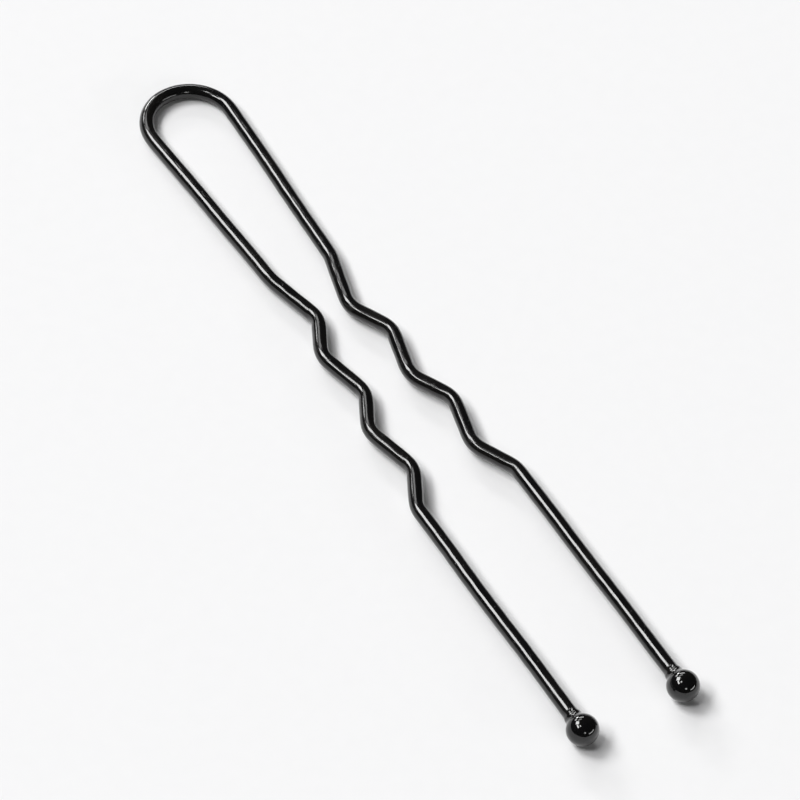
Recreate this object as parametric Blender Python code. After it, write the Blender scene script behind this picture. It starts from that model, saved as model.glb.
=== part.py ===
"""U-shaped hairpin: one enamelled spring wire with three waves in each leg and a ball over each end.

The pin lies flat. +X runs across its legs, +Y from its tips to its crown, and +Z up. The origin is
under the middle of its outline, on the surface that its balls rest on. Lengths are in metres.

The real wire is one piece that springs. Here it is cut across each leg at the point that the leg
swings about, so that each leg, with its ball, can turn against the crown.
"""
import math

import bmesh
import bpy
from mathutils import Matrix, Vector

MM = 0.001
SHARP_EDGE = math.radians(40.0)

# Wire, with its enamel
WIRE_DIAMETER = 1.0 * MM
WIRE_SIDES = 16
WIRE_BEND_STEP = math.radians(5.0)

# Crown: the round bend, and the straight necks down to the flex points
CROWN_INNER_WIDTH = 5.0 * MM
CROWN_BEND_STEP = math.radians(7.5)
NECK_LENGTH = 5.2 * MM
FLEX_GAP = 0.3 * MM

# Upper leg: straight, closing in to the waist; the gap is clear between the two legs
UPPER_LEG_LENGTH = 9.2 * MM
WAIST_GAP = 3.6 * MM

# Waves: corners before rounding, a steep run out and a longer run back in for each wave
WAVE_COUNT = 3
WAVE_LEAD_RUN = 4.4 * MM
WAVE_FIRST_GAP = 1.28 * MM
WAVE_OUT_RUN = 2.9 * MM
WAVE_OUT_WIDTH = 1.52 * MM
WAVE_BACK_RUN = 4.0 * MM
WAVE_BACK_WIDTH = 1.0 * MM
WAVE_INNER_RADIUS = 1.3 * MM
WAVE_REACH_SHARE = 0.48

# Lower leg: straight and parallel to the pin, down to the middle of its ball
LOWER_LEG_LENGTH = 19.95 * MM

# Ball tip: a dipped bead with a socket round the wire's end and a thin collar up the wire
BALL_WALL = 0.49 * MM
BALL_SEGMENTS = 24
BALL_STEP = math.radians(11.25)
SOCKET_CLEARANCE = 0.05 * MM
WIRE_PAST_BALL_MIDDLE = 0.3 * MM
COLLAR_LIP = 0.1 * MM
COLLAR_FILLET = 0.5 * MM
COLLAR_STEP = math.radians(15.0)

# Sizes that follow
WIRE_RADIUS = WIRE_DIAMETER / 2
WIRE_CORNER_RADIUS = WIRE_RADIUS / math.cos(math.pi / WIRE_SIDES)
CROWN_RADIUS = CROWN_INNER_WIDTH / 2 + WIRE_RADIUS
WAIST_X = WAIST_GAP / 2 + WIRE_RADIUS
WAVE_FIRST_X = WAVE_FIRST_GAP / 2 + WIRE_RADIUS
WAVE_RADIUS = WAVE_INNER_RADIUS + WIRE_RADIUS
STRAIGHT_LENGTH = NECK_LENGTH + UPPER_LEG_LENGTH
TAPER = (math.acos(WAIST_X / math.hypot(CROWN_RADIUS, STRAIGHT_LENGTH))
         - math.atan2(STRAIGHT_LENGTH, CROWN_RADIUS))
SOCKET_RADIUS = WIRE_CORNER_RADIUS + SOCKET_CLEARANCE
SOCKET_DEPTH = WIRE_PAST_BALL_MIDDLE + SOCKET_CLEARANCE
COLLAR_RADIUS = SOCKET_RADIUS + COLLAR_LIP
BALL_RADIUS = SOCKET_RADIUS + BALL_WALL

# The right leg's places, from the middle of the crown's bend; a left leg has them with -x
DOWN_LEG = Vector((-math.sin(TAPER), -math.cos(TAPER)))
BEND_END = Vector((math.cos(TAPER), -math.sin(TAPER))) * CROWN_RADIUS
FLEX_POINT = BEND_END + DOWN_LEG * NECK_LENGTH
WAIST = BEND_END + DOWN_LEG * STRAIGHT_LENGTH
WAVE_FIRST = Vector((WAVE_FIRST_X, WAIST.y - WAVE_LEAD_RUN))
WAVE_OUT = Vector((WAVE_OUT_WIDTH, -WAVE_OUT_RUN))
WAVE_BACK = Vector((-WAVE_BACK_WIDTH, -WAVE_BACK_RUN))
WAVE_LAST = WAVE_FIRST + WAVE_OUT * WAVE_COUNT + WAVE_BACK * (WAVE_COUNT - 1)
BALL_MIDDLE = WAVE_LAST - Vector((0.0, LOWER_LEG_LENGTH))

# Where the middle of the crown's bend lies
CROWN_PLACE = Vector((0.0, (BALL_RADIUS - BALL_MIDDLE.y - CROWN_RADIUS - WIRE_RADIUS) / 2, BALL_RADIUS))


def clear_scene():
    for old in list(bpy.data.objects):
        bpy.data.objects.remove(old, do_unlink=True)


def glossy_material(name, colour, roughness):
    material = bpy.data.materials.new(name)
    material.use_nodes = True
    shader = material.node_tree.nodes["Principled BSDF"]
    shader.inputs["Base Color"].default_value = (*colour, 1.0)
    shader.inputs["Roughness"].default_value = roughness
    shader.inputs["Metallic"].default_value = 0.0
    return material


def wire_enamel():
    return glossy_material("black_enamel", (0.010, 0.010, 0.011), 0.16)


def ball_lacquer():
    return glossy_material("black_lacquer", (0.008, 0.008, 0.009), 0.10)


# Routes are lists of (point, direction) along the wire's middle line, in the pin's plane

def crown_route():
    """Up the left neck, round the bend and down the right neck."""
    half_turn = math.pi / 2 + TAPER
    steps = math.ceil(2 * half_turn / CROWN_BEND_STEP)
    route = []
    for step in range(steps + 1):
        angle = half_turn * (2 * step / steps - 1)
        outward = Vector((math.sin(angle), math.cos(angle)))
        route.append((outward * CROWN_RADIUS, Vector((outward.y, -outward.x))))
    neck = NECK_LENGTH - FLEX_GAP / 2
    first, first_way = route[0]
    last, last_way = route[-1]
    route.insert(0, (first - first_way * neck, first_way))
    route.append((last + last_way * neck, last_way))
    return route


def leg_corners():
    """Corners of the right leg before rounding, from its cut end to its end in the ball."""
    corners = [FLEX_POINT + DOWN_LEG * (FLEX_GAP / 2), WAIST]
    corner = WAVE_FIRST
    for _ in range(WAVE_COUNT):
        corners += [corner, corner + WAVE_OUT]
        corner = corner + WAVE_OUT + WAVE_BACK
    corners.append(BALL_MIDDLE - Vector((0.0, WIRE_PAST_BALL_MIDDLE)))
    return corners


def bend_at(corner, before, after):
    """Points of the arc that rounds one corner, between the corners before and after it."""
    way_in = (corner - before).normalized()
    way_out = (after - corner).normalized()
    turn = math.atan2(way_in.x * way_out.y - way_in.y * way_out.x, way_in.dot(way_out))
    if turn == 0.0:
        return [(corner, way_in)]
    room = WAVE_REACH_SHARE * min((corner - before).length, (after - corner).length)
    half_tangent = math.tan(abs(turn) / 2)
    reach = min(WAVE_RADIUS * half_tangent, room)
    spoke = Vector((way_in.y, -way_in.x)) * math.copysign(reach / half_tangent, turn)
    middle = corner - way_in * reach - spoke
    steps = max(1, math.ceil(abs(turn) / WIRE_BEND_STEP))
    arc = []
    for step in range(steps + 1):
        swing = Matrix.Rotation(turn * step / steps, 2)
        arc.append((middle + swing @ spoke, swing @ way_in))
    return arc


def leg_route(side):
    """The leg on one side, +1 for right and -1 for left, from its cut end down."""
    corners = leg_corners()
    route = [(corners[0], DOWN_LEG)]
    for before, corner, after in zip(corners, corners[1:], corners[2:]):
        route += bend_at(corner, before, after)
    route.append((corners[-1], (corners[-1] - corners[-2]).normalized()))
    return [(Vector((side * point.x, point.y)), Vector((side * way.x, way.y))) for point, way in route]


def skin_rings(shape, rings):
    """Faces between rings of points that have as many points each."""
    for near, far in zip(rings, rings[1:]):
        for index in range(len(near)):
            after = (index + 1) % len(near)
            shape.faces.new((near[index], near[after], far[after], far[index]))


def finish_mesh(name, shape):
    """Faces turned outward and shaded smooth, with the cut ends' edges kept sharp."""
    bmesh.ops.recalc_face_normals(shape, faces=shape.faces)
    data = bpy.data.meshes.new(name)
    shape.to_mesh(data)
    shape.free()
    data.shade_smooth()
    data.set_sharp_from_angle(angle=SHARP_EDGE)
    return data


def wire_mesh(name, route, origin):
    """A rod along a route, its flats a wire's radius out, drawn from an origin in the pin's plane."""
    shape = bmesh.new()
    rings = []
    for point, way in route:
        middle = (point - origin).to_3d()
        across = Vector((way.y, -way.x, 0.0))
        ring = []
        for side in range(WIRE_SIDES):
            angle = 2 * math.pi * (side + 0.5) / WIRE_SIDES
            spoke = across * math.cos(angle) + Vector((0.0, 0.0, math.sin(angle)))
            ring.append(shape.verts.new(middle + spoke * WIRE_CORNER_RADIUS))
        rings.append(ring)
    skin_rings(shape, rings)
    shape.faces.new(rings[0])
    shape.faces.new(rings[-1])
    return finish_mesh(name, shape)


def arc_points(middle, radius, start, end, step):
    """Points of an arc as (out, along) from the turning axis; angles run from straight along it."""
    count = max(1, math.ceil(abs(end - start) / step))
    points = []
    for index in range(count + 1):
        angle = start + (end - start) * index / count
        points.append((middle[0] + radius * math.sin(angle), middle[1] + radius * math.cos(angle)))
    return points


def ball_profile():
    """Half outline of a ball, from its far pole over the ball and collar and down into its socket."""
    fillet_out = COLLAR_RADIUS + COLLAR_FILLET
    fillet_along = math.sqrt((BALL_RADIUS + COLLAR_FILLET) ** 2 - fillet_out ** 2)
    touch = math.atan2(fillet_out, fillet_along)
    middle = (0.0, 0.0)
    outline = arc_points(middle, BALL_RADIUS, math.pi, math.pi / 2, BALL_STEP)[1:]
    outline += arc_points(middle, BALL_RADIUS, math.pi / 2, touch, BALL_STEP)[1:]
    fillet_middle = (fillet_out, fillet_along)
    outline += arc_points(fillet_middle, COLLAR_FILLET, touch - math.pi, -math.pi / 2, COLLAR_STEP)[1:]
    outline.append((SOCKET_RADIUS, fillet_along))
    outline.append((SOCKET_RADIUS, -SOCKET_DEPTH))
    return outline


def ball_mesh(name):
    """A turned ball whose axis runs along Y, with its socket open towards the crown."""
    shape = bmesh.new()
    rings = []
    for out, along in ball_profile():
        ring = []
        for segment in range(BALL_SEGMENTS):
            angle = 2 * math.pi * segment / BALL_SEGMENTS
            ring.append(shape.verts.new((out * math.cos(angle), along, out * math.sin(angle))))
        rings.append(ring)
    skin_rings(shape, rings)
    for ring, along in ((rings[0], -BALL_RADIUS), (rings[-1], -SOCKET_DEPTH)):
        pole = shape.verts.new((0.0, along, 0.0))
        for index in range(BALL_SEGMENTS):
            shape.faces.new((ring[index], ring[(index + 1) % BALL_SEGMENTS], pole))
    return finish_mesh(name, shape)


def add_object(name, data, place, parent=None, material=None):
    """An object placed from its parent's origin."""
    added = bpy.data.objects.new(name, data)
    bpy.context.scene.collection.objects.link(added)
    added.parent = parent
    added.location = place
    if material is not None:
        data.materials.append(material)
    return added


def build_crown(enamel):
    data = wire_mesh("crown", crown_route(), Vector((0.0, 0.0)))
    return add_object("crown", data, CROWN_PLACE, material=enamel)


def build_leg(name, side, crown, enamel, lacquer):
    """One leg and its ball, both turning about the flex point."""
    flex_point = Vector((side * FLEX_POINT.x, FLEX_POINT.y))
    pivot = add_object(name + "_pivot", None, flex_point.to_3d(), parent=crown)
    data = wire_mesh(name + "_leg", leg_route(side), flex_point)
    add_object(name + "_leg", data, Vector(), parent=pivot, material=enamel)
    ball_middle = Vector((side * BALL_MIDDLE.x, BALL_MIDDLE.y))
    data = ball_mesh(name + "_tip")
    add_object(name + "_tip", data, (ball_middle - flex_point).to_3d(), parent=pivot, material=lacquer)


def build_hairpin():
    clear_scene()
    enamel = wire_enamel()
    lacquer = ball_lacquer()
    crown = build_crown(enamel)
    build_leg("left", -1, crown, enamel, lacquer)
    build_leg("right", 1, crown, enamel, lacquer)


build_hairpin()
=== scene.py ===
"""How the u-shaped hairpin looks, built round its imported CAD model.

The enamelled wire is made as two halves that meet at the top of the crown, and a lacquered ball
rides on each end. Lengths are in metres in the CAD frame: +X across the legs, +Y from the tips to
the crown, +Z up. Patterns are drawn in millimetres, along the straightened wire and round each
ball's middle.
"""
import math

import bpy
import numpy as np
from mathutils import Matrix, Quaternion, Vector


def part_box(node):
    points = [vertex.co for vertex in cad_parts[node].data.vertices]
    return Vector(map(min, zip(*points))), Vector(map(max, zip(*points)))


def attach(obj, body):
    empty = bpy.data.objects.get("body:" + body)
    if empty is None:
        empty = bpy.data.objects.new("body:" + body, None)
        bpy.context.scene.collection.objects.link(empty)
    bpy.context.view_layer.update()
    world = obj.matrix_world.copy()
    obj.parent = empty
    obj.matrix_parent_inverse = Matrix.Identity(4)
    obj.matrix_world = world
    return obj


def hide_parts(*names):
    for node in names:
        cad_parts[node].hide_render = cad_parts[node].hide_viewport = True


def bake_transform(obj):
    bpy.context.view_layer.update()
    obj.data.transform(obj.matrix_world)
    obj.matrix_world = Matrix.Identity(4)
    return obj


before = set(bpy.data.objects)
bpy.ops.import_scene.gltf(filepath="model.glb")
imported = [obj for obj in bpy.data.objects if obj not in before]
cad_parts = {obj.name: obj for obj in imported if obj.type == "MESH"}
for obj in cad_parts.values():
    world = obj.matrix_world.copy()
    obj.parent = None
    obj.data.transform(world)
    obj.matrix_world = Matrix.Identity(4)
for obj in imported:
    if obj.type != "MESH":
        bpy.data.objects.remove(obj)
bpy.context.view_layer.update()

MM = 0.001

# Each half of the pin: its name, its sign along X, and the seed of its unevenness
HALVES = (("right", 1, 11), ("left", -1, 23))
BALL_SEED_STEP = 5
COAT_SEED = 7

# The wire's middle line, the same sizes as the solids have
WIRE_RADIUS = 0.5 * MM
CROWN_RADIUS = 3.0 * MM
STRAIGHT_LENGTH = 14.4 * MM
WAIST_X = 2.3 * MM
WAVE_COUNT = 3
WAVE_LEAD_RUN = 4.4 * MM
WAVE_FIRST_X = 1.14 * MM
WAVE_OUT = np.array((1.52, -2.9)) * MM
WAVE_BACK = np.array((-1.0, -4.0)) * MM
WAVE_RADIUS = 1.8 * MM
WAVE_REACH_SHARE = 0.48
LOWER_LEG_LENGTH = 19.95 * MM
WIRE_PAST_BALL_MIDDLE = 0.3 * MM

# How finely the wire is drawn, and how its bends ease in and out
CROWN_POINTS = 91
CORNER_POINTS = 25
TRACE_STEP = 0.02 * MM
RING_STEP = 0.12 * MM
SEAM_STEP = 0.01 * MM
WIRE_SIDES = 36
BEND_EASE = 0.28 * MM
EASE_REACH = 4
SHARP_ANGLE = math.radians(60)

# What bending, pressing and dipping leave on the wire; its press marks set in below the crown
WANDER = 0.030 * MM
WANDER_LENGTHS = (9.0, 14.0, 23.0)
WANDER_HOLD = 6 * MM
STRETCH_SHARE = 0.024
SWELL_SHARE = 0.012
PRESS_DEPTH = 0.035 * MM
PRESS_SPREAD = 0.16
PRESS_START = 3 * math.pi / 2 * CROWN_RADIUS
PRESS_EASE = 4 * MM
COAT_RIPPLE = 0.0035 * MM
COAT_LENGTHS = (0.8, 2.6)
COAT_WAVES = 14

# Ball of lacquer: its outline, its lumps, and the film that creeps up the wire
BALL_RADIUS = 1.0498 * MM
FILM_RADIUS = 0.60 * MM
FILLET_RADIUS = 0.55 * MM
FILM_LENGTH = 0.55 * MM
FILM_POINTS = 9
BORE_RADIUS = 0.53 * MM
BORE_DEPTH = 0.36 * MM
LIP_BITE = 0.004 * MM
BALL_SEGMENTS = 72
BALL_STEP = math.radians(4.0)
BALL_RIPPLE = 0.009 * MM
BALL_LENGTHS = (1.3, 3.4)
BALL_WAVES = 9
RIPPLE_FROM_SHARE = 0.9
NECK_EASE = 0.5 * MM
THIN_FROM = 0.8 * MM
THIN_EASE = 0.5 * MM

# Places on the map that the bake draws on: the wire in stacked strips beside its two ends, the ball in one
WIRE_STRIPS = 5
STRIP_END = 0.972
STRIP_MARGIN = 0.006
CAP_PLACE = 0.986
CAP_SIZE = 0.008
CAP_HEIGHTS = (0.25, 0.50)
BALL_MARGIN = 0.04

# Paints
DEEP_BLACK = (0.0028, 0.0028, 0.0031, 1.0)
WARM_BLACK = (0.0052, 0.0047, 0.0043, 1.0)
SCUFF_GREY = (0.0300, 0.0295, 0.0290, 1.0)
PRIMER_GREY = (0.0200, 0.0192, 0.0184, 1.0)
CARD_SHADE = (0.855, 0.855, 0.860, 1.0)
CARD_LIGHT = (0.875, 0.875, 0.880, 1.0)
PAINT_IOR = 1.55
PAINT_SPECULAR = 0.3

# Floor and camera: the photograph's bearing, height, lean and distance, through a longer lens
FLOOR_SIZE = 6.0
VIEW_BEARING = -125.7
VIEW_HEIGHT = 49.0
VIEW_LEAN = math.radians(6.5)
VIEW_DISTANCE = 0.375
VIEW_LENS = 262.0
VIEW_NEAREST = 0.01
VIEW_TARGET = Vector((0.0, -0.0008, 0.001))

# Soft boxes: bearing from +X and height in degrees, width and depth in metres, radiance
LAMP_DISTANCE = 4.80
SOFTBOXES = {
    "key": (125.7, 49.0, 1.84, 1.84, 14.2),
    "back": (86.0, 47.0, 2.08, 0.80, 3.5),
    "side": (165.0, 50.0, 1.84, 0.80, 16.0),
    "top": (180.0, 67.0, 0.72, 0.72, 12.0),
    "low": (303.0, 13.0, 3.40, 0.40, 6.5),
    "rear": (101.0, 26.0, 1.00, 0.90, 8.0),
    "rim": (84.0, 20.0, 1.00, 0.60, 20.0),
    "crest": (66.0, 30.0, 1.70, 0.40, 12.0),
    "front": (256.0, 28.0, 0.80, 0.80, 6.5),
}
WORLD_STRENGTH = 0.03


def smooth(value):
    """0 to 1 with level ends, for a value that runs from 0 to 1."""
    held = np.clip(value, 0.0, 1.0)
    return held * held * (3.0 - 2.0 * held)


def unit(vector):
    return vector / np.linalg.norm(vector)


# The middle line of the right half, as points (x, y) from the crown's top to the wire's end

def leg_corners(crown_middle):
    """How far the neck leans in, and the corners from the end of the crown's bend to the wire's end."""
    taper = (math.acos(WAIST_X / math.hypot(CROWN_RADIUS, STRAIGHT_LENGTH))
             - math.atan2(STRAIGHT_LENGTH, CROWN_RADIUS))
    down = np.array((-math.sin(taper), -math.cos(taper)))
    bend_end = crown_middle + np.array((math.cos(taper), -math.sin(taper))) * CROWN_RADIUS
    waist = bend_end + down * STRAIGHT_LENGTH
    corners = [bend_end, waist]
    corner = np.array((WAVE_FIRST_X, waist[1] - WAVE_LEAD_RUN))
    for _ in range(WAVE_COUNT):
        corners += [corner, corner + WAVE_OUT]
        corner = corner + WAVE_OUT + WAVE_BACK
    corners.append(corners[-1] - np.array((0.0, LOWER_LEG_LENGTH + WIRE_PAST_BALL_MIDDLE)))
    return taper, corners


def rounded(corner, before, after):
    """Points of the arc that rounds a corner."""
    way_in, way_out = unit(corner - before), unit(after - corner)
    turn = math.atan2(way_in[0] * way_out[1] - way_in[1] * way_out[0], way_in @ way_out)
    room = WAVE_REACH_SHARE * min(np.linalg.norm(corner - before), np.linalg.norm(after - corner))
    half_tangent = math.tan(abs(turn) / 2)
    reach = min(WAVE_RADIUS * half_tangent, room)
    spoke = np.array((way_in[1], -way_in[0])) * math.copysign(reach / half_tangent, turn)
    middle = corner - way_in * reach - spoke
    swings = np.linspace(0.0, turn, CORNER_POINTS)
    return [middle + np.array((math.cos(a) * spoke[0] - math.sin(a) * spoke[1],
                               math.sin(a) * spoke[0] + math.cos(a) * spoke[1])) for a in swings]


def evenly(points, step):
    """The same line with its points a step apart."""
    along = np.concatenate(([0.0], np.cumsum(np.linalg.norm(np.diff(points, axis=0), axis=1))))
    places = np.linspace(0.0, along[-1], int(round(along[-1] / step)) + 1)
    return np.stack([np.interp(places, along, column) for column in points.T], axis=1)


def eased(points):
    """The line with its curvature spread a little, as wire bends; its last point stays in place."""
    reach = int(EASE_REACH * BEND_EASE / TRACE_STEP)
    offsets = np.arange(-reach, reach + 1) * TRACE_STEP
    weights = np.exp(-0.5 * (offsets / BEND_EASE) ** 2)
    weights /= weights.sum()
    before = points[reach:0:-1] * (-1.0, 1.0)
    step = points[-1] - points[-2]
    after = points[-1] + np.arange(1, reach + 1)[:, None] * step
    padded = np.concatenate((before, points, after))
    return np.stack([np.convolve(column, weights, mode="valid") for column in padded.T], axis=1)


def middle_line(crown_middle):
    """The whole line, with a point at about every trace step."""
    taper, corners = leg_corners(crown_middle)
    angles = np.linspace(0.0, math.pi / 2 + taper, CROWN_POINTS)
    points = [crown_middle + CROWN_RADIUS * np.array((math.sin(a), math.cos(a))) for a in angles]
    for before, corner, after in zip(corners, corners[1:], corners[2:]):
        points += rounded(corner, before, after)
    points.append(corners[-1])
    return eased(evenly(np.array(points), TRACE_STEP))


# Small unevenness, the same on every run

def plane_waves(places, lengths, count, seed):
    """A smooth random field of about unit size at places in millimetres, from waves of those lengths."""
    draw = np.random.default_rng(seed)
    total = np.zeros(len(places))
    for _ in range(count):
        way = unit(draw.normal(size=3))
        length = draw.uniform(*lengths)
        total += np.sin(places @ way * (2 * math.pi / length) + draw.uniform(0, 2 * math.pi))
    return total * math.sqrt(2.0 / count)


def wandering(along, seed):
    """Sideways drift of a hand-straight wire: none at the crown's top and none in the ball."""
    draw = np.random.default_rng(seed)
    total = np.zeros(len(along))
    for length in WANDER_LENGTHS:
        total += np.sin(along / (length * MM) * 2 * math.pi + draw.uniform(0, 2 * math.pi))
    held = smooth(along / WANDER_HOLD) * smooth((along[-1] - along) / WANDER_HOLD)
    return WANDER * held * total / len(WANDER_LENGTHS)


# Meshes

def add_object(name, data):
    added = bpy.data.objects.new(name, data)
    bpy.context.scene.collection.objects.link(added)
    return added


def add_piece(name, data, material):
    data.materials.append(material)
    return add_object(name, data)


def mesh_from(name, vertices, faces, uv, coordinates, floats):
    """A smooth-shaded mesh with the bake's map and its pattern coordinates in millimetres."""
    data = bpy.data.meshes.new(name)
    data.from_pydata(vertices.tolist(), [], faces)
    layer = data.uv_layers.new(name="OFBake")
    layer.uv.foreach_set("vector", np.array(uv, np.float32).ravel())
    pattern = data.attributes.new("pattern_mm", "FLOAT_VECTOR", "POINT")
    pattern.data.foreach_set("vector", (coordinates / MM).astype(np.float32).ravel())
    for key, values in floats.items():
        data.attributes.new(key, "FLOAT", "POINT").data.foreach_set("value", values.astype(np.float32))
    data.shade_smooth()
    data.set_sharp_from_angle(angle=SHARP_ANGLE)
    return data


def ring_places(length):
    """Distances of the wire's rings from the crown's top, with one close to it so the halves meet level."""
    count = int(round(length / RING_STEP))
    return np.concatenate(([0.0, SEAM_STEP], np.linspace(0.0, length, count + 1)[1:]))


def wire_mesh(name, side, line, height, seed):
    """Half the wire: side is +1 for right and -1 for left."""
    trace = np.arange(len(line)) * TRACE_STEP
    rings = ring_places(trace[-1])
    way = np.gradient(line, TRACE_STEP, axis=0)
    way /= np.linalg.norm(way, axis=1)[:, None]
    # The first ring lies exactly in the plane between the halves
    way[0] = (1.0, 0.0)
    outward = np.stack((-way[:, 1], way[:, 0]), axis=1)
    curve = (np.gradient(way, TRACE_STEP, axis=0) * outward).sum(axis=1)

    def at(values):
        return np.interp(rings, trace, values)

    middle = np.stack((at(line[:, 0]), at(line[:, 1]), np.full(len(rings), height)), axis=1)
    out = np.stack((at(outward[:, 0]), at(outward[:, 1]), np.zeros(len(rings))), axis=1)
    middle += out * wandering(rings, seed)[:, None]
    middle[:, 2] += wandering(rings, seed + 1)
    bend = at(curve) * WAVE_RADIUS
    in_waves = smooth((rings - PRESS_START) / PRESS_EASE)

    angle = np.linspace(0.0, 2 * math.pi, WIRE_SIDES, endpoint=False)
    cosine, sine = np.cos(angle), np.sin(angle)
    strength = smooth(np.abs(bend))[:, None]
    inner = np.sign(bend)[:, None] * cosine
    radius = np.full((len(rings), WIRE_SIDES), WIRE_RADIUS)
    radius *= 1.0 - strength * (STRETCH_SHARE * cosine ** 2 - SWELL_SHARE * sine ** 2)
    pressed = np.exp((inner - 1.0) / PRESS_SPREAD) * (strength ** 2) * in_waves[:, None]
    radius -= PRESS_DEPTH * pressed
    straight = np.stack((np.tile(WIRE_RADIUS * cosine, (len(rings), 1)),
                         np.tile(WIRE_RADIUS * sine, (len(rings), 1)),
                         np.tile(side * rings[:, None], (1, WIRE_SIDES))), axis=2).reshape(-1, 3)
    ripple = plane_waves(straight / MM, COAT_LENGTHS, COAT_WAVES, COAT_SEED).reshape(radius.shape)
    radius += COAT_RIPPLE * ripple

    spokes = out[:, None, :] * cosine[None, :, None] + np.array((0.0, 0.0, 1.0)) * sine[None, :, None]
    vertices = (middle[:, None, :] + spokes * radius[:, :, None]).reshape(-1, 3)
    vertices[:, 0] *= side
    thin = (strength * smooth(-inner)).ravel()
    faces, uv = wire_faces(rings / rings[-1], side)
    return mesh_from(name, vertices, faces, uv, straight, {"thin_coat": thin, "pressed": pressed.ravel()})


def wire_faces(share, side):
    """Faces round and along the wire and over its two ends, and their places on the map."""
    faces, uv = [], []
    strips = np.minimum((share * WIRE_STRIPS).astype(int), WIRE_STRIPS - 1)
    for ring, strip in enumerate(strips[:-1]):
        low, high = [STRIP_MARGIN + (STRIP_END - STRIP_MARGIN) * min(share[k] * WIRE_STRIPS - strip, 1.0)
                     for k in (ring, ring + 1)]
        for index in range(WIRE_SIDES):
            after = (index + 1) % WIRE_SIDES
            face = [ring * WIRE_SIDES + index, ring * WIRE_SIDES + after,
                    (ring + 1) * WIRE_SIDES + after, (ring + 1) * WIRE_SIDES + index]
            near, far = [(strip + STRIP_MARGIN + (1 - 2 * STRIP_MARGIN) * k / WIRE_SIDES) / WIRE_STRIPS
                         for k in (index, index + 1)]
            corners = [(low, near), (low, far), (high, far), (high, near)]
            faces.append(face[::side])
            uv += corners[::side]
    last = (len(share) - 1) * WIRE_SIDES
    for first, turn, height in ((0, -side, CAP_HEIGHTS[0]), (last, side, CAP_HEIGHTS[1])):
        order = range(WIRE_SIDES)[::turn]
        faces.append([first + index for index in order])
        uv += [(CAP_PLACE + CAP_SIZE * math.cos(2 * math.pi * k / WIRE_SIDES),
                height + CAP_SIZE * math.sin(2 * math.pi * k / WIRE_SIDES)) for k in order]
    return faces, uv


def arc(middle, radius, start, end):
    """Points (out, along) of an arc, both ends included; an angle of 0 points up the wire."""
    count = max(2, math.ceil(abs(end - start) / BALL_STEP) + 1)
    return [(middle[0] + radius * math.sin(a), middle[1] + radius * math.cos(a))
            for a in np.linspace(start, end, count)]


def ball_outline():
    """Half outline from the far pole over the ball, up the film to the wire, and down the bore."""
    fillet_out = FILM_RADIUS + FILLET_RADIUS
    fillet_along = math.sqrt((BALL_RADIUS + FILLET_RADIUS) ** 2 - fillet_out ** 2)
    touch = math.atan2(fillet_out, fillet_along)
    points = arc((0.0, 0.0), BALL_RADIUS, math.pi, touch)[1:]
    points += arc((fillet_out, fillet_along), FILLET_RADIUS, touch - math.pi, -math.pi / 2)[1:]
    lip = WIRE_RADIUS - LIP_BITE
    for share in np.linspace(0.0, 1.0, FILM_POINTS)[1:]:
        points.append((lip + (FILM_RADIUS - lip) * (1.0 - share) ** 2, fillet_along + FILM_LENGTH * share))
    points.append((BORE_RADIUS, fillet_along))
    points.append((BORE_RADIUS, -BORE_DEPTH))
    return np.array(points)


def ball_mesh(name, middle, seed):
    """A turned ball whose axis runs along Y, lumpy outside as a dipped bead is, and smooth in its bore."""
    outline = ball_outline()
    angle = np.linspace(0.0, 2 * math.pi, BALL_SEGMENTS, endpoint=False)
    out, along = outline[:, 0][:, None], outline[:, 1][:, None]
    local = np.stack((out * np.cos(angle), along + 0 * angle, out * np.sin(angle)), axis=2).reshape(-1, 3)
    poles = np.array(((0.0, -BALL_RADIUS, 0.0), (0.0, -BORE_DEPTH, 0.0)))
    local = np.concatenate((local, poles))
    ripple = BALL_RIPPLE * plane_waves(local / MM, BALL_LENGTHS, BALL_WAVES, seed)
    away = np.linalg.norm(local, axis=1)
    held = smooth((away / BALL_RADIUS - RIPPLE_FROM_SHARE) / (1.0 - RIPPLE_FROM_SHARE))
    held *= smooth((BALL_RADIUS - local[:, 1]) / NECK_EASE)
    vertices = local * (1.0 + ripple * held / away)[:, None]

    length = np.concatenate(([0.0], np.cumsum(np.linalg.norm(np.diff(outline, axis=0), axis=1))))
    rise = BALL_MARGIN + (1 - 2 * BALL_MARGIN) * length / length[-1]
    around = [(index, (index + 1) % BALL_SEGMENTS, index / BALL_SEGMENTS, (index + 1) / BALL_SEGMENTS)
              for index in range(BALL_SEGMENTS)]
    last = (len(outline) - 1) * BALL_SEGMENTS
    far_pole, bore_pole = len(local) - 2, len(local) - 1
    faces, uv = [], []
    for ring in range(len(outline) - 1):
        for index, after, near, far in around:
            faces.append([ring * BALL_SEGMENTS + index, (ring + 1) * BALL_SEGMENTS + index,
                          (ring + 1) * BALL_SEGMENTS + after, ring * BALL_SEGMENTS + after])
            uv += [(near, rise[ring]), (near, rise[ring + 1]), (far, rise[ring + 1]), (far, rise[ring])]
    for index, after, near, far in around:
        faces.append([index, after, far_pole])
        uv += [(near, rise[0]), (far, rise[0]), (near, 0.0)]
        faces.append([last + after, last + index, bore_pole])
        uv += [(far, rise[-1]), (near, rise[-1]), (near, 1.0)]
    film = smooth((local[:, 1] - THIN_FROM) / THIN_EASE)
    return mesh_from(name, vertices + middle, faces, uv, local,
                     {"thin_coat": film, "pressed": np.zeros(len(local))})


# Materials

# The colour sockets of Blender's mix node, which share their names with its other sockets
MIX_FIRST = 6
MIX_SECOND = 7
MIX_RESULT = 2


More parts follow.
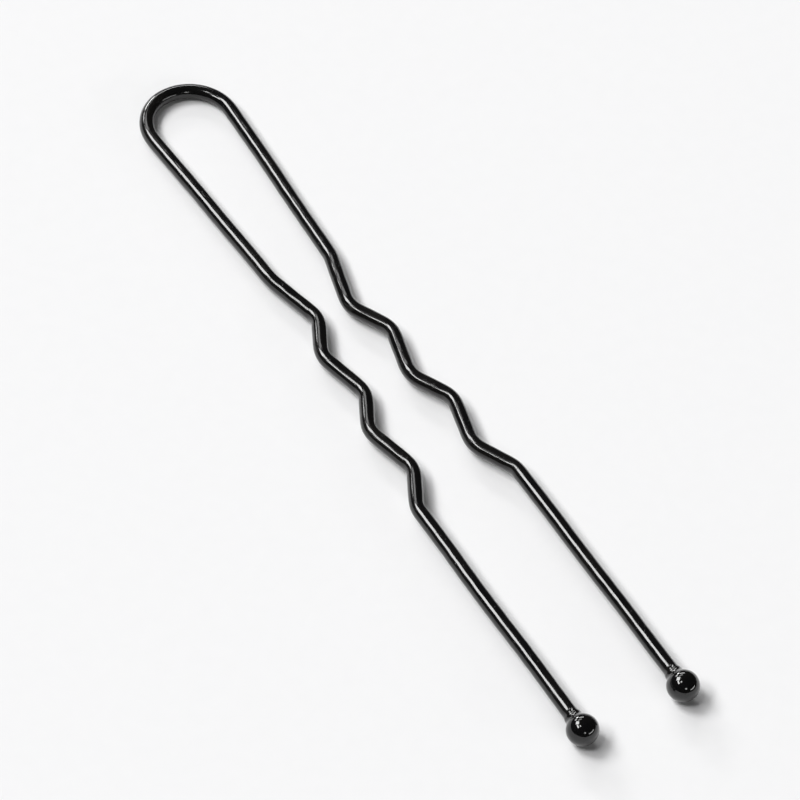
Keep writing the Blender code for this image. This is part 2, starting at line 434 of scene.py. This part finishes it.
class Tree:
    """Adds and links shader nodes in one material."""

    def __init__(self, name):
        self.material = bpy.data.materials.new(name)
        self.material.use_nodes = True
        self.nodes = self.material.node_tree.nodes
        self.links = self.material.node_tree.links

    def put(self, socket, value):
        if isinstance(value, bpy.types.NodeSocket):
            self.links.new(value, socket)
        else:
            socket.default_value = value

    def add(self, kind, inputs, **settings):
        """A node whose inputs, by name or number, take values or other nodes' outputs."""
        made = self.nodes.new(kind)
        for key, value in settings.items():
            setattr(made, key, value)
        for key, value in inputs.items():
            self.put(made.inputs[key], value)
        return made

    def shade(self, inputs):
        """Gives the shader its inputs, and gives back the material."""
        for key, value in inputs.items():
            self.put(self.nodes["Principled BSDF"].inputs[key], value)
        return self.material

    def attribute(self, name, output):
        return self.add("ShaderNodeAttribute", {}, attribute_name=name).outputs[output]

    def scaled(self, vector, scale):
        return self.add("ShaderNodeVectorMath", {0: vector, 1: scale}, operation="MULTIPLY").outputs[0]

    def noise(self, vector, scale, detail=2.0, roughness=0.5):
        inputs = {"Vector": vector, "Scale": scale, "Detail": detail, "Roughness": roughness}
        return self.add("ShaderNodeTexNoise", inputs).outputs["Fac"]

    def ramp(self, value, low, high, start=0.0, end=1.0):
        """From start, where the value is low, smoothly to end, where it is high."""
        inputs = {"Value": value, "From Min": low, "From Max": high, "To Min": start, "To Max": end}
        return self.add("ShaderNodeMapRange", inputs, interpolation_type="SMOOTHSTEP").outputs[0]

    def reckon(self, operation, first, second=0.0):
        return self.add("ShaderNodeMath", {0: first, 1: second}, operation=operation).outputs[0]

    def times(self, first, second):
        return self.reckon("MULTIPLY", first, second)

    def plus(self, first, second):
        return self.reckon("ADD", first, second)

    def mix(self, share, first, second):
        inputs = {"Factor": share, MIX_FIRST: first, MIX_SECOND: second}
        return self.add("ShaderNodeMix", inputs, data_type="RGBA").outputs[MIX_RESULT]

    def bump(self, height, depth, normal=None):
        inputs = {"Height": height, "Distance": depth, "Strength": 1.0}
        if normal is not None:
            inputs["Normal"] = normal
        return self.add("ShaderNodeBump", inputs).outputs["Normal"]


def enamel():
    """Stoved black enamel over drawn wire: orange peel, faint draw lines, pressed bends, small scuffs."""
    tree = Tree("black_enamel")
    place = tree.attribute("pattern_mm", "Vector")
    thin = tree.attribute("thin_coat", "Fac")
    pressed = tree.attribute("pressed", "Fac")

    cloud = tree.noise(place, scale=0.33, detail=3.0)
    peel = tree.noise(place, scale=1.9, roughness=0.40)
    fine_peel = tree.noise(place, scale=7.5)
    lines = tree.noise(tree.scaled(place, (6.0, 6.0, 0.16)), scale=1.6, detail=3.0, roughness=0.6)
    scratch_field = tree.noise(tree.scaled(place, (2.2, 2.2, 0.8)), scale=1.5)
    from_middle = tree.reckon("ABSOLUTE", tree.reckon("SUBTRACT", scratch_field, 0.5))
    scratches = tree.ramp(from_middle, low=0.012, high=0.002)
    rubbed = tree.ramp(tree.noise(place, scale=0.42), low=0.56, high=0.70)
    scuffs = tree.times(scratches, rubbed)
    grit = tree.ramp(tree.noise(place, scale=5.2, detail=1.0), low=0.70, high=0.80)
    patches = tree.ramp(tree.noise(place, scale=2.1, detail=4.0, roughness=0.65), low=0.47, high=0.66)
    worn = tree.times(thin, patches)

    colour = tree.mix(tree.ramp(cloud, low=0.36, high=0.68), DEEP_BLACK, WARM_BLACK)
    colour = tree.mix(tree.times(worn, 0.55), colour, PRIMER_GREY)
    colour = tree.mix(tree.times(scuffs, 0.5), colour, SCUFF_GREY)

    rough = tree.ramp(cloud, low=0.30, high=0.72, start=0.105, end=0.175)
    rough = tree.plus(rough, tree.ramp(lines, low=0.40, high=0.75, end=0.05))
    for field, added_roughness in ((worn, 0.14), (pressed, 0.06), (scuffs, 0.22)):
        rough = tree.plus(rough, tree.times(field, added_roughness))

    normal = tree.bump(lines, 0.0007 * MM)
    for field, depth in ((peel, 0.0055), (fine_peel, 0.0007), (grit, 0.0080), (scuffs, -0.0010)):
        normal = tree.bump(field, depth * MM, normal)

    return tree.shade({
        "Base Color": colour,
        "Roughness": rough,
        "Normal": normal,
        "IOR": PAINT_IOR,
        "Specular IOR Level": PAINT_SPECULAR,
        "Coat Weight": tree.ramp(worn, low=0.0, high=0.8, start=0.50, end=0.20),
        "Coat Normal": tree.bump(peel, 0.0045 * MM),
        "Coat Roughness": 0.06,
    })


def lacquer():
    """The balls' thicker black lacquer: wet gloss, slow sags, sunken specks, a thin edge on the wire."""
    tree = Tree("black_lacquer")
    place = tree.attribute("pattern_mm", "Vector")
    thin = tree.attribute("thin_coat", "Fac")
    cloud = tree.noise(place, scale=0.8)
    sag = tree.noise(tree.scaled(place, (1.0, 0.55, 1.0)), scale=1.3, detail=1.0)
    peel = tree.noise(place, scale=5.5)
    specks = tree.ramp(tree.noise(place, scale=6.5, detail=1.0), low=0.72, high=0.80)

    rough = tree.ramp(cloud, low=0.30, high=0.75, start=0.050, end=0.090)
    for field, added_roughness in ((thin, 0.05), (specks, 0.15)):
        rough = tree.plus(rough, tree.times(field, added_roughness))

    normal = tree.bump(sag, 0.018 * MM)
    for field, depth in ((peel, 0.0020), (specks, -0.0060)):
        normal = tree.bump(field, depth * MM, normal)

    return tree.shade({
        "Base Color": tree.mix(tree.ramp(cloud, low=0.35, high=0.70), DEEP_BLACK, WARM_BLACK),
        "Roughness": rough,
        "Normal": normal,
        "IOR": PAINT_IOR,
        "Specular IOR Level": PAINT_SPECULAR,
        "Coat Weight": tree.ramp(thin, low=0.2, high=1.0, start=0.55, end=0.40),
        "Coat Normal": tree.bump(sag, 0.016 * MM),
        "Coat Roughness": 0.04,
    })


def floor_paint():
    """Matt pale card."""
    tree = Tree("pale_card")
    place = tree.add("ShaderNodeTexCoord", {}).outputs["Object"]
    grain = tree.noise(place, scale=900.0, detail=3.0)
    return tree.shade({
        "Base Color": tree.mix(grain, CARD_SHADE, CARD_LIGHT),
        "Roughness": 1.0,
        "Specular IOR Level": 0.0,
    })


# Build

_, crown_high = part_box("crown")
tip_low, tip_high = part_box("right_tip")
wire_height = (tip_low.z + tip_high.z) / 2
crown_middle = np.array((0.0, crown_high.y - WIRE_RADIUS - CROWN_RADIUS))
line = middle_line(crown_middle)
wire_paint, ball_paint = enamel(), lacquer()

for half_name, side, seed in HALVES:
    wire_name, ball_name, leg_name = half_name + "_wire", half_name + "_ball", half_name + "_leg"
    wire = add_piece(wire_name, wire_mesh(wire_name, side, line, wire_height, seed), wire_paint)
    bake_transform(wire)
    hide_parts("crown", leg_name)

    low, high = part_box(half_name + "_tip")
    ball_middle = np.array(((low.x + high.x) / 2, low.y + BALL_RADIUS, wire_height))
    ball = add_piece(ball_name, ball_mesh(ball_name, ball_middle, seed + BALL_SEED_STEP), ball_paint)
    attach(ball, leg_name)
    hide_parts(half_name + "_tip")

# Floor: tilted to touch both balls and the underside of the crown, as the pin really lies
ball_y = tip_low.y + BALL_RADIUS
crown_y = crown_middle[1] + CROWN_RADIUS
floor_tilt = math.asin((BALL_RADIUS - WIRE_RADIUS) / (crown_y - ball_y))
floor_normal = Vector((0.0, -math.sin(floor_tilt), math.cos(floor_tilt)))
reach = FLOOR_SIZE / 2
floor_corners = [(-reach, -reach, 0), (reach, -reach, 0), (reach, reach, 0), (-reach, reach, 0)]
floor_data = bpy.data.meshes.new("floor")
floor_data.from_pydata(floor_corners, [], [(0, 1, 2, 3)])
floor = add_piece("floor", floor_data, floor_paint())
floor.rotation_euler = (floor_tilt, 0.0, 0.0)
floor.location = Vector((0.0, ball_y, wire_height)) - floor_normal * BALL_RADIUS


# Camera, lamps and world

def direction(bearing, height):
    """From the pin towards a bearing from +X and a height above the level, both in degrees."""
    across, up = math.radians(bearing), math.radians(height)
    return Vector((math.cos(across) * math.cos(up), math.sin(across) * math.cos(up), math.sin(up)))


def facing_back(towards):
    """The turn of a camera or lamp that stands in that direction and looks back from it."""
    return (-towards).to_track_quat("-Z", "Y")


towards_camera = direction(VIEW_BEARING, VIEW_HEIGHT)
camera_data = bpy.data.cameras.new("camera")
camera_data.lens = VIEW_LENS
camera_data.clip_start = VIEW_NEAREST
camera = add_object("camera", camera_data)
camera.rotation_mode = "QUATERNION"
camera.rotation_quaternion = facing_back(towards_camera) @ Quaternion((0.0, 0.0, 1.0), VIEW_LEAN)
camera.location = VIEW_TARGET + towards_camera * VIEW_DISTANCE
bpy.context.scene.camera = camera

for lamp_name, (bearing, height, width, depth, radiance) in SOFTBOXES.items():
    lamp_data = bpy.data.lights.new(lamp_name, "AREA")
    lamp_data.shape = "RECTANGLE"
    lamp_data.size = width
    lamp_data.size_y = depth
    lamp_data.energy = radiance * math.pi * width * depth
    lamp = add_object(lamp_name, lamp_data)
    towards_lamp = direction(bearing, height)
    lamp.location = towards_lamp * LAMP_DISTANCE
    lamp.rotation_mode = "QUATERNION"
    lamp.rotation_quaternion = facing_back(towards_lamp)

world = bpy.data.worlds.new("studio")
bpy.context.scene.world = world
world.use_nodes = True
background = world.node_tree.nodes["Background"]
background.inputs["Color"].default_value = (1.0, 1.0, 1.0, 1.0)
background.inputs["Strength"].default_value = WORLD_STRENGTH
bpy.context.scene.view_settings.view_transform = "Standard"
